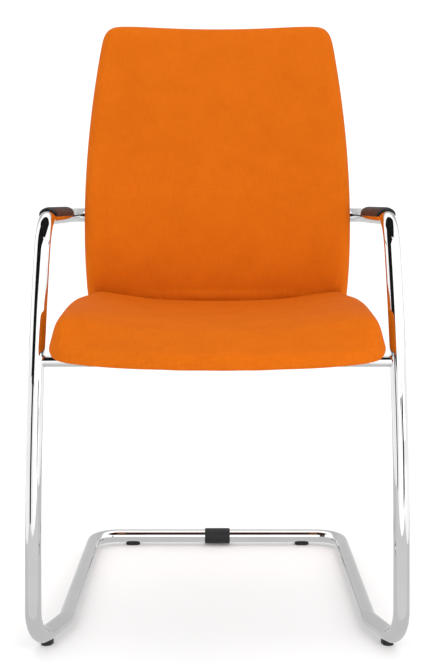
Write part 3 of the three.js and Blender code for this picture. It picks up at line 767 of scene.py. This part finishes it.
@dataclass
class SledFrame:
    """The two bent tube halves of the sled frame, and the seat's cross tube between them.

    Args:
        corners: The left half's corners, from the middle of the rear floor rail to the open end:
            X, Y behind the foot axis, Z and the bend's radius.
        radius: The tube's outer radius.
        wall: The tube's wall.
        facet: The largest length of one facet in a bend.
        facet_angle: Its largest angle, in degrees.
        cross_radius: The cross tube's outer radius.
        cross_wall: Its wall.
        cross_back: How far it stands behind the foot axis.
        cross_height: Its height.
        cross_end: How far it reaches to each side.
        cross_axis: How far aside the uprights' axis stands there.
        bead: How thick the weld bead is.
        bead_face: Its face, as shares of that away from the cross tube and the upright.
        bead_root: How deep it reaches into both tubes.
        bead_toe: How deep its outer edge lies in the upright.
    """

    corners: tuple[tuple[float, float, float, float], ...] = (
        (-0.5, 592.0, 16.0, 0.0),
        (-234.5, 592.0, 16.0, 45.0),
        (-236.0, 115.0, 16.0, 40.0),
        (-271.5, 0.0, 16.0, 50.0),
        (-271.5, 0.0, 382.0, 3600.0),
        (-259.0, 28.0, 644.5, 50.0),
        (-252.0, 406.495, 639.5, 55.0),
        (-128.0, 406.495, 639.5, 0.0),
    )
    radius: float = 12.0
    wall: float = 2.0
    facet: float = 14.0
    facet_angle: float = 3.5
    cross_radius: float = 8.0
    cross_wall: float = 1.5
    cross_back: float = 8.53
    cross_height: float = 431.6
    cross_end: float = 262.0
    cross_axis: float = 267.7
    bead: float = 1.3
    bead_face: tuple[Pair, ...] = ((0.0, 1.0), (0.4, 0.85), (0.8, 0.45))
    bead_root: float = 0.4
    bead_toe: float = 0.3

    def half(self) -> Mesh:
        """The left tube with its wall.

        Returns:
            The mesh.
        """
        route = TubeRoute([Corner(Vector((x, y + FOOT_AXIS, z)), r) for x, y, z, r in self.corners])
        bm = bmesh.new()
        edges = ring_at(bm, route.start, route.first, self.radius, TUBE_SIDES)
        route.sweep(bm, edges, self.facet_angle, self.facet)
        bmesh.ops.remove_doubles(bm, verts=bm.verts, dist=SAME_POINT * MM)
        bmesh.ops.recalc_face_normals(bm, faces=bm.faces)
        bmesh.ops.solidify(bm, geom=bm.faces[:], thickness=self.wall * MM)
        return bm

    def cross_point(self, aside: float) -> Vector:
        """The point on the cross tube's axis at a place across the chair."""
        return Vector((aside, self.cross_back + FOOT_AXIS, self.cross_height))

    def cross_tube(self) -> Mesh:
        """The cross tube with its wall.

        Returns:
            The mesh.
        """
        bm = bmesh.new()
        start = self.cross_point(-self.cross_end)
        edges = ring_at(bm, start, ACROSS, self.cross_radius, CROSS_SIDES)
        extruded(bm, edges, ACROSS * 2 * self.cross_end)
        bmesh.ops.recalc_face_normals(bm, faces=bm.faces)
        bmesh.ops.solidify(bm, geom=bm.faces[:], thickness=self.cross_wall * MM)
        return bm

    def weld_bead(self) -> Mesh:
        """The plated bead round the cross tube's left end, which follows the upright's round.

        Returns:
            The mesh.
        """
        bm = bmesh.new()
        inner = self.cross_radius - self.bead_root
        section = (
            (inner, -self.bead_root),
            *((inner + out * self.bead, up * self.bead) for out, up in self.bead_face),
            (inner + self.bead, -self.bead_toe),
        )
        centre = self.cross_point(0.0)
        rings = []
        for radius, off in section:
            ring = ring_at(bm, centre, ACROSS, radius, CROSS_SIDES)
            for vert in {v for edge in ring for v in edge.verts}:
                aside = vert.co.y / MM - centre.y
                round_x = math.sqrt(self.radius**2 - aside**2) - self.cross_axis
                vert.co.x = (round_x + off) * MM
            rings.append(ring)
        for one, two in zip(rings, rings[1:] + rings[:1]):
            bmesh.ops.bridge_loops(bm, edges=one + two)
        bmesh.ops.recalc_face_normals(bm, faces=bm.faces)
        return bm

    def build(self) -> None:
        """Makes both halves, the beads and the cross tube."""
        for side in Side:
            bm = on_side(self.half(), side)
            tube = piece_from(bm, f"sled_tube_{side.word}", Slot.CHROME)
            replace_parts(tube, f"frame_{side.word}")
            bm = on_side(self.weld_bead(), side)
            piece_from(bm, f"seat_rail_weld_{side.word}", Slot.CHROME, sharp=60.0)
        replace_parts(piece_from(self.cross_tube(), "seat_rail_tube", Slot.CHROME), "seat_cross_tube")


# ---- upholstery


# How the taut cover behaves while the foam pushes it out.
COVER_CLOTH = {
    "quality": 5,
    "mass": 0.3,
    "tension_stiffness": 40,
    "compression_stiffness": 40,
    "shear_stiffness": 20,
    "bending_stiffness": 2,
    "use_pressure": True,
    "vertex_group_mass": "on_shell",
    "pin_stiffness": 1.0,
}


@dataclass
class Cushion:
    """A foam pad on the moulded shell, under a cover pulled tight.

    Args:
        node: The CAD solid that it stands for.
        name: The piece's name.
        touch: A point closer than this to the shell lies on it.
        inset: How much smaller the pad starts.
        swell: How far the foam may push a point.
        pressure: How hard the foam pushes.
        frames: For how many frames it pushes.
        fill: How full it is. It is not used.
        relax: How often the rounded places are smoothed.
        flat_join: The angle in degrees up to which two triangles become one face.
        shape_join: How far that face's corners may be from square, in degrees.
    """

    node: str
    name: str
    touch: float = 1.5
    inset: float = 0.5
    swell: float = 3.0
    pressure: float = 4.0
    frames: int = 20
    fill: float = 0.85
    relax: int = 5
    flat_join: float = 40.0
    shape_join: float = 60.0

    def start(self) -> Object:
        """The pad's own form, cut and stuffed but slightly small.

        Returns:
            The piece, not yet swollen.
        """
        bm = node_copy(self.node)
        bmesh.ops.join_triangles(
            bm,
            faces=bm.faces,
            angle_face_threshold=math.radians(self.flat_join),
            angle_shape_threshold=math.radians(self.shape_join),
        )
        piece = piece_from(bm, self.name, Slot.FABRIC, sharp=180.0)
        with_modifier(piece, "SUBSURF", levels=1, render_levels=1)
        bm = bmesh.new()
        bm.from_mesh(piece.data)
        bearing = self.bearing(bm)
        free = [v for v in bm.verts if v.index not in bearing]
        bm.normal_update()
        for vert in free:
            vert.co += self.tailored(vert.co / MM, vert.normal) * MM
        smoothed(bm, [v for v in free if self.softened(v.co / MM)], self.relax)
        bm.normal_update()
        for vert in free:
            vert.co -= vert.normal * self.inset * MM
        bm.to_mesh(piece.data)
        bm.free()
        group = piece.vertex_groups.new(name=COVER_CLOTH["vertex_group_mass"])
        group.add(sorted(bearing), 1.0, "REPLACE")
        return piece

    def tailored(self, at: Vector, out: Vector) -> Vector:
        """How far the cut of the cover moves a point of the pad.

        Args:
            at: The point, in millimetres.
            out: The surface's direction there.

        Returns:
            The move in millimetres.
        """
        return Vector((0.0, 0.0, 0.0))

    def softened(self, at: Vector) -> bool:
        """Whether the cover rounds the pad off at this point, in millimetres."""
        return False

    def bearing(self, bm: Mesh) -> set[int]:
        """The points that lie on the plywood shell, which the foam can't push out.

        Args:
            bm: The pad's mesh.

        Returns:
            The points' numbers.
        """
        shell = node_copy("seat_shell")
        tree = BVHTree.FromBMesh(shell)
        shell.free()
        bm.verts.ensure_lookup_table()
        near = self.touch * MM
        return {v.index for v in bm.verts if tree.find_nearest(v.co, near)[0] is not None}

    def push_out(self, piece: Object) -> None:
        """Lets the foam push the cover out, with a limit on each point's way.

        Args:
            piece: The pad.
        """
        rest = [v.co.copy() for v in piece.data.vertices]
        cloth = piece.modifiers.new("cover", "CLOTH")
        for name, value in COVER_CLOTH.items():
            setattr(cloth.settings, name, value)
        cloth.settings.uniform_pressure_force = self.pressure
        cloth.settings.effector_weights.gravity = 0.0
        cloth.collision_settings.use_collision = False
        cloth.point_cache.frame_start = 1
        cloth.point_cache.frame_end = self.frames
        scene = bpy.context.scene
        for number in range(1, self.frames + 1):
            scene.frame_set(number)
        graph = bpy.context.evaluated_depsgraph_get()
        swollen = [v.co.copy() for v in piece.evaluated_get(graph).data.vertices]
        piece.modifiers.remove(cloth)
        scene.frame_set(1)
        for vert, old, new in zip(piece.data.vertices, rest, swollen):
            outward = vert.normal.copy()
            way = (new - old).dot(outward)
            vert.co = old + outward * min(max(way, 0.0), self.swell * MM)
        moves = sorted((new - old).length / MM for old, new in zip(rest, swollen))
        middle = moves[len(moves) // 2]
        log.info("%s: middle move %.2f mm, largest %.2f", self.name, middle, moves[-1])

    def build(self) -> Object:
        """Makes the pad.

        Returns:
            The finished piece.
        """
        piece = self.start()
        self.push_out(piece)
        bm = bmesh.new()
        bm.from_mesh(piece.data)
        smoothed(bm, bm.verts, 1)
        bm.to_mesh(piece.data)
        bm.free()
        piece.vertex_groups.clear()
        with_modifier(piece, "SUBSURF", levels=1, render_levels=1)
        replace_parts(piece, self.node)
        return piece


@dataclass
class SeatCushion(Cushion):
    """The seat pad: its sides stand up towards the back, and its lower edge is cut square.

    Args:
        side_lift: How much the sides stand above the middle.
        lift_aside: Where they rise, seen from the front.
        lift_back: Where they rise, seen from the side.
        upward: How far a face has to look up for that.
        side_fill: How much fuller the sides are next to the thighs.
        thighs: Where that is, seen from above.
        thigh_rise: The heights between which it grows.
        corner_fill: How far the lower edge is filled out.
        lower_edge: Where that is, in front of the uprights.
        sideways: How level a face has to look for that.
        lip_drop: How far the front's lower edge hangs down.
        lip_rise: The heights between which it grows.
        lip_front: Where it grows, seen from the side.
        front_drop: How far the top falls towards the front.
        front_round: How far the front's upper edge is rounded back.
        nose: Where both happen, seen from above.
        drop_rise: The heights between which the fall grows.
        round_rise: The heights between which the rounding grows.
        crest: How far aside and how high the rounded crest over the sides starts.
    """

    side_lift: float = 6.0
    lift_aside: Ramp = Ramp(100.0, 215.0)
    lift_back: Ramp = Ramp(-325.0, -225.0)
    upward: Ramp = Ramp(-0.1, 0.4)
    side_fill: float = 4.5
    thighs: Zone = Zone((Ramp(150.0, 215.0),), (Ramp(-235.0, -110.0), Ramp(90.0, 0.0)))
    thigh_rise: Ramp = Ramp(470.0, 490.0)
    corner_fill: float = 4.5
    lower_edge: Zone = Zone(high=(Ramp(436.0, 444.0), Ramp(475.0, 450.0)))
    sideways: Ramp = Ramp(0.05, 0.5)
    lip_drop: float = 3.6
    lip_rise: Ramp = Ramp(455.0, 440.0)
    lip_front: Ramp = Ramp(-255.0, -320.0)
    front_drop: float = 11.0
    front_round: float = 24.0
    nose: Zone = Zone((Ramp(226.0, 185.0),), (Ramp(-230.0, -352.0),))
    drop_rise: Ramp = Ramp(448.0, 486.0)
    round_rise: Ramp = Ramp(452.0, 488.0)
    crest: Pair = (165.0, 466.0)

    def tailored(self, at: Vector, out: Vector) -> Vector:
        """Lifts the sides of the top, fills the lower edge out and lets the front fall."""
        lift = self.side_lift * self.lift_aside.at(abs(at.x)) * self.lift_back.at(at.y)
        move = UP * lift * self.upward.at(out.z)
        fill = self.side_fill * self.thighs.share(at) * self.thigh_rise.at(at.z)
        move += ACROSS * math.copysign(fill, at.x)
        level = Vector((out.x, out.y, 0.0))
        if level.length > self.sideways.start and at.y < 0.0:
            edge = level.normalized() * self.corner_fill * self.lower_edge.share(at)
            move += edge * self.sideways.at(level.length)
            move -= UP * self.lip_drop * self.lip_rise.at(at.z) * self.lip_front.at(at.y)
        nose = self.nose.share(at)
        move -= UP * self.front_drop * nose * self.drop_rise.at(at.z)
        return move + DEPTH * self.front_round * nose * self.round_rise.at(at.z)

    def softened(self, at: Vector) -> bool:
        """The crest over the sides is round."""
        aside, high = self.crest
        return abs(at.x) > aside and at.z > high


@dataclass
class BackCushion(Cushion):
    """The back pad: it stands slightly forward at the small of the back.

    Args:
        crown: How far its middle stands forward.
        small: Where that is.
        forward: How far a face has to look forward for that.
    """

    crown: float = 5.0
    small: Zone = Zone((Ramp(215.0, 0.0),), high=(Ramp(480.0, 560.0), Ramp(860.0, 620.0)))
    forward: Ramp = Ramp(0.0, 0.6)

    def tailored(self, at: Vector, out: Vector) -> Vector:
        """Brings the middle of the lower half forward."""
        return DEPTH * (-self.crown * self.small.share(at) * self.forward.at(-out.y))


# ---- panels and plastic parts


@dataclass
class SmoothCopy:
    """A CAD node's own shape with merged, evenly shaded faces and broken edges.

    Args:
        node: The CAD node.
        name: The piece's name.
        slot: The finish.
        edge: The radius of the broken edges.
        sharp: The angle in degrees past which an edge is broken.
        flat: The angle in degrees up to which faces are merged.
        rounding: How many facets a broken edge has.
    """

    node: str
    name: str
    slot: Slot
    edge: float
    sharp: float = 40.0
    flat: float = 0.5
    rounding: int = 3

    def build(self) -> Object:
        """Makes the piece.

        Returns:
            The finished piece.
        """
        bm = node_copy(self.node)
        bmesh.ops.dissolve_limit(
            bm, angle_limit=math.radians(self.flat), verts=bm.verts, edges=bm.edges
        )
        # The bevel tears faces with many corners.
        bmesh.ops.triangulate(bm, faces=[f for f in bm.faces if len(f.verts) > 4])
        limit = math.radians(self.sharp)
        bmesh.ops.bevel(
            bm,
            geom=[e for e in bm.edges if len(e.link_faces) == 2 and e.calc_face_angle(0.0) > limit],
            offset=self.edge * MM,
            offset_type="OFFSET",
            segments=self.rounding,
            profile=0.5,
            affect="EDGES",
            clamp_overlap=True,
            material=-1,
        )
        piece = piece_from(bm, self.name, self.slot, self.sharp)
        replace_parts(piece, self.node)
        return piece


# ---- screws


@dataclass(frozen=True)
class ScrewSizes:
    """A kind of round-headed screw with a hexagon socket.

    Args:
        head: The head's radius.
        rise: The head's height.
        shank: The shank's radius.
        seat: How far below the CAD head's top the head starts.
        socket: The hexagon's radius to its corners.
        depth: How deep it is.
        lean: How far the steps at the hexagon's mouth and under the head lean.
        dome: The head's outline, as shares of its radius and of its height.
        tip: How long the narrower tip is.
        tip_share: The tip's radius, as a share of the shank's.
    """

    head: float
    rise: float
    shank: float
    seat: float = 0.0
    socket: float = 2.3
    depth: float = 1.4
    lean: float = 0.15
    dome: tuple[Pair, ...] = ((0.62, 0.0), (0.8, 0.12), (0.94, 0.38), (1.0, 0.7), (1.0, 1.0))
    tip: float = 0.8
    tip_share: float = 0.7


SHELL_SCREW = ScrewSizes(head=5.5, rise=3.4, shank=3.0)
PAD_SCREW = ScrewSizes(head=3.6, rise=0.7, shank=2.0, seat=2.7, socket=1.5, depth=0.5)


@dataclass
class SocketScrew:
    """One screw in its place.

    Args:
        node: The CAD screw.
        along: From the head to the tip.
        sizes: The screw's kind.
    """

    node: str
    along: Vector
    sizes: ScrewSizes

    def build(self) -> Object:
        """Makes the screw.

        Returns:
            The finished piece.
        """
        low, high = (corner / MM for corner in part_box(self.node))
        half = abs((high - low).dot(self.along)) / 2
        size = self.sizes
        top = (low + high) / 2 - self.along * (half - size.seat)
        length = 2 * half - size.seat
        outline = (
            *((size.head * out, size.rise * down) for out, down in size.dome),
            (size.shank, size.rise + size.lean),
            (size.shank, length - size.tip),
            (size.shank * size.tip_share, length),
        )
        bm = bmesh.new()
        rings = [ring_at(bm, top + self.along * d, self.along, r, SCREW_SIDES) for r, d in outline]
        floor, mouth = (
            ring_at(bm, top + self.along * d, self.along, size.socket, SCREW_SIDES, HEXAGON)
            for d in (size.depth, size.lean)
        )
        loops = [floor, mouth, *rings]
        for one, two in zip(loops, loops[1:]):
            bmesh.ops.bridge_loops(bm, edges=one + two)
        for ring in (floor, rings[-1]):
            bmesh.ops.contextual_create(bm, geom=ring)
        bmesh.ops.recalc_face_normals(bm, faces=bm.faces)
        piece = piece_from(bm, f"{self.node}_zinc", Slot.ZINC, sharp=32.0)
        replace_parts(piece, self.node)
        return piece


# ---- CAD nodes that stay


@dataclass(frozen=True)
class Hardware:
    """CAD nodes whose shape is right and that only get their finish.

    Args:
        finishes: A word of a node's name and its finish. The first match counts.
    """

    finishes: tuple[tuple[str, Slot], ...] = (
        ("screw", Slot.ZINC),
        ("insert", Slot.ZINC),
        ("dowel", Slot.ZINC),
        ("bracket", Slot.ZINC),
        ("shell", Slot.PLYWOOD),
        ("cushion", Slot.FABRIC),
        ("back_panel", Slot.FABRIC),
        ("tube_cap", Slot.PLASTIC),
        ("tube", Slot.CHROME),
        ("frame", Slot.CHROME),
    )

    def dress(self) -> None:
        """Gives every CAD node its finish."""
        for name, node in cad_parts.items():
            slot = next((s for word, s in self.finishes if word in name), Slot.PLASTIC)
            node.data.materials.clear()
            node.data.materials.append(slot.material())


# ---- studio


def mirrored_only(card: Object, shade: str, strength: float = 1.0) -> None:
    """Makes an even glow of an object of the set, which only reflections show.

    Args:
        card: The object.
        shade: Its colour.
        strength: How much it glows.
    """
    material, tree, shader = new_material(card.name)
    sockets = {"Emission Color": linear(shade), "Emission Strength": strength}
    feed(tree, shader, {"Base Color": (0.0, 0.0, 0.0, 1.0), "Specular IOR Level": 0.0, **sockets})
    card.data.materials.append(material)
    for ray in ("camera", "diffuse", "shadow", "transmission"):
        setattr(card, f"visible_{ray}", False)


@dataclass(frozen=True)
class Sheet:
    """A flat sheet of the set, facing a direction.

    Args:
        name: The sheet's name.
        size: Its width and height.
        at: Its middle.
        facing: Where its face points.
        shade: The colour of a card that only the plating mirrors.
        foot: Where its lower edge starts and ends, as shares of half the width.
    """

    name: str
    size: Pair
    at: Sequence[float]
    facing: Sequence[float]
    shade: str | None = None
    foot: Pair = (-1.0, 1.0)

    def build(self) -> Object:
        """Hangs the sheet up.

        Returns:
            The sheet.
        """
        bm = bmesh.new()
        bmesh.ops.create_grid(bm, x_segments=1, y_segments=1, size=0.5)
        for vert in bm.verts:
            if vert.co.y < 0.0:
                vert.co.x = self.foot[vert.co.x > 0.0] / 2
        bmesh.ops.scale(bm, vec=(self.size[0] * MM, self.size[1] * MM, 1.0), verts=bm.verts)
        turn = Vector(self.facing).to_track_quat("Z", "Y").to_matrix().to_4x4()
        place = Matrix.Translation(Vector(self.at) * MM) @ turn
        bmesh.ops.transform(bm, matrix=place, verts=bm.verts)
        sheet = object_from(bm, self.name)
        if self.shade:
            mirrored_only(sheet, self.shade)
        return sheet


@dataclass(frozen=True)
class SoftBox:
    """A soft box.

    Args:
        name: The light's name.
        at: Its place.
        aim: Where it points.
        width: Its width.
        watts: Its power.
        height: Its height, as a share of its width.
        grid: The angle in degrees that its grid lets through. A grid hides it from the plating.
    """

    name: str
    at: Sequence[float]
    aim: Sequence[float]
    width: float
    watts: float
    height: float = 1.0
    grid: float | None = None

    def build(self) -> None:
        """Hangs the soft box up."""
        data = bpy.data.lights.new(self.name, "AREA")
        data.shape = "RECTANGLE"
        data.size = self.width * MM
        data.size_y = self.width * self.height * MM
        data.energy = self.watts
        lamp = bpy.data.objects.new(self.name, data)
        if self.grid:
            data.spread = math.radians(self.grid)
            lamp.visible_glossy = False
        at = Vector(self.at)
        lamp.location = at * MM
        lamp.rotation_euler = (at - Vector(self.aim)).to_track_quat("Z", "Y").to_euler()
        bpy.context.scene.collection.objects.link(lamp)


SOFT_BOXES = (
    SoftBox("front_box", (400, -2700, 500), (0, 0, 550), 1800, 3.6),
    SoftBox("top_box", (0, -450, 2500), (0, -50, 450), 1600, 8.0),
    SoftBox("back_box", (-150, -1500, 1250), (-20, 80, 540), 700, 0.07, height=0.4, grid=10.0),
    SoftBox("side_box", (1700, -1300, 550), (0, 0, 450), 900, 4.0),
    SoftBox("low_box", (250, -1100, 40), (0, -300, 440), 700, 2.4),
)
FLOOR = Sheet("floor", (30000, 30000), (0, 0, 0), UP)
# The colour of the cards that paint dark reflections into the plating.
BLACK = "1A1A1A"
# Painted reflections: each card glows evenly in its colour, and only reflections see it.
CARDS = (
    # Painted dark reflections: the black cards draw the dark bands and spots along the tubes.
    Sheet("side_flag_low", (300, 640), (-730, -900, 322), (0.55, 0.84, 0), BLACK),
    # Its slanted lower edge narrows the painted dark reflection band down the uprights.
    Sheet(
        "side_flag_high", (2125, 1250), (-369, -1082, 1015), (0.75, 0.66, 0), BLACK, (0.388, 0.67)
    ),
    Sheet("overhead_flag", (2000, 1650), (-100, -700, 1640), -UP, BLACK),
    Sheet("front_flag", (800, 330), (700, -1150, 167), (0, 1, 0), BLACK),
    # Painted grey reflections: these grey cards make the lower tubes and the tubes' undersides grey
    # in the chrome.
    Sheet("back_shade", (9000, 5000), (0, 3500, 2500), (0, -1, 0), "D5D5D5"),
    Sheet("floor_shade", (1760, 4130), (0, 1135, 1), UP, "DADADA"),
    Sheet("floor_front", (1700, 600), (0, -630, 2), UP, "E7E7E7"),
    # Painted reflection of the seat's shaded underside: a dark brown card under the seat that only
    # the rails below mirror.
    Sheet("seat_shade_reflection", (400, 200), (0, 140, 428), -UP, "3A2418"),
    # Painted dark reflection as well: a black card far to the front left.
    Sheet("far_flag", (3000, 4300), (-3080, -4190, 2350), (0.616, 0.788, 0), BLACK),
)


@dataclass
class Studio:
    """The floor, the light and the camera at the photograph's viewing angle.

    Args:
        camera_back: The camera's distance in front of the foot axis.
        camera_height: Its height.
        image: The photograph's frame in pixels.
        focal_pixels: The lens' focal length in those pixels.
        horizon: The row that the level camera's axis meets.
        middle: The column of the chair's middle plane.
        sensor: The sensor's width.
        ambient: How bright the light from all round is.
        tent_half: Half the tent's width, and its height.
        tent_glow: How bright the plating sees it.
    """

    camera_back: float = 1916.8
    camera_height: float = 692.9
    image: tuple[int, int] = (435, 670)
    focal_pixels: float = 1300.0
    horizon: float = 185.0
    middle: float = 217.35
    sensor: float = 36.0
    ambient: float = 1.16
    tent_half: float = 12000.0
    tent_glow: float = 1.42

    def camera(self) -> None:
        """Sets the camera up."""
        data = bpy.data.cameras.new("camera")
        long_side = max(self.image)
        data.sensor_width = self.sensor
        data.lens = self.focal_pixels / long_side * self.sensor
        data.shift_x = (self.image[0] / 2 - self.middle) / long_side
        data.shift_y = (self.horizon - self.image[1] / 2) / long_side
        data.clip_end = 100.0
        camera = bpy.data.objects.new("camera", data)
        camera.location = Vector((0, FOOT_AXIS - self.camera_back, self.camera_height)) * MM
        camera.rotation_euler = (math.pi / 2, 0, 0)
        bpy.context.scene.collection.objects.link(camera)
        bpy.context.scene.camera = camera

    def world(self) -> None:
        """White light from all round."""
        world = bpy.data.worlds.new("white_studio")
        bpy.context.scene.world = world
        world.use_nodes = True
        tree = world.node_tree
        tree.nodes.clear()
        sockets = {"Color": (1.0, 1.0, 1.0, 1.0), "Strength": self.ambient}
        shade = add_node(tree, "ShaderNodeBackground", sockets)
        add_node(tree, "ShaderNodeOutputWorld", {"Surface": shade.outputs[0]})

    def tent(self) -> None:
        """Hangs a glowing white box round and over the set, which only reflections see: a painted
        reflection, bright enough for the plating, that lights nothing.
        """
        bm = bmesh.new()
        bmesh.ops.create_cube(bm, size=2 * self.tent_half * MM)
        bmesh.ops.delete(bm, geom=[f for f in bm.faces if f.normal.z < -0.5], context="FACES_ONLY")
        bmesh.ops.scale(bm, vec=(1.0, 1.0, 0.5), verts=bm.verts)
        bmesh.ops.translate(bm, vec=UP * self.tent_half / 2 * MM, verts=bm.verts)
        tent = object_from(bm, "reflection_only_tent")
        mirrored_only(tent, "FFFFFF", self.tent_glow)

    def build(self) -> None:
        """Sets the studio up."""
        bpy.context.scene.view_settings.view_transform = "Standard"
        self.camera()
        FLOOR.build().data.materials.append(PaleVinyl().material())
        self.world()
        self.tent()
        for part in (*SOFT_BOXES, *CARDS):
            part.build()


# ---- the chair


def main() -> None:
    """Builds the chair and its studio."""
    logging.basicConfig(level=logging.INFO, format="%(name)s %(message)s")
    Hardware().dress()
    SledFrame().build()
    SeatCushion("seat_cushion", "seat_pad_upholstered").build()
    BackCushion("back_cushion", "back_pad_upholstered").build()
    piece = SmoothCopy("back_panel", "back_panel_upholstered", Slot.FABRIC, edge=1.0).build()
    SmoothCopy("under_panel", "seat_under_panel", Slot.PLASTIC, edge=0.6).build()
    SmoothCopy("joint_sleeve", "rail_joint_sleeve", Slot.PLASTIC, edge=0.4).build()
    for side in (side.word for side in Side):
        for part in ("arm_pad", "front_glide", "rear_glide", "tube_cap", "back_spacer"):
            SmoothCopy(f"{part}_{side}", f"{part}_smooth_{side}", Slot.PLASTIC, edge=0.4).build()
        SmoothCopy(f"seat_bracket_{side}", f"seat_saddle_{side}", Slot.ZINC, edge=0.3).build()
        for place in ("front", "rear"):
            SocketScrew(f"arm_pad_screw_{place}_{side}", UP, PAD_SCREW).build()
            SocketScrew(f"seat_screw_{place}_{side}", UP, SHELL_SCREW).build()
        for place in ("inner", "outer"):
            SocketScrew(f"back_screw_{place}_{side}", -DEPTH, SHELL_SCREW).build()
    Studio().build()


if __name__ == "__main__":
    main()
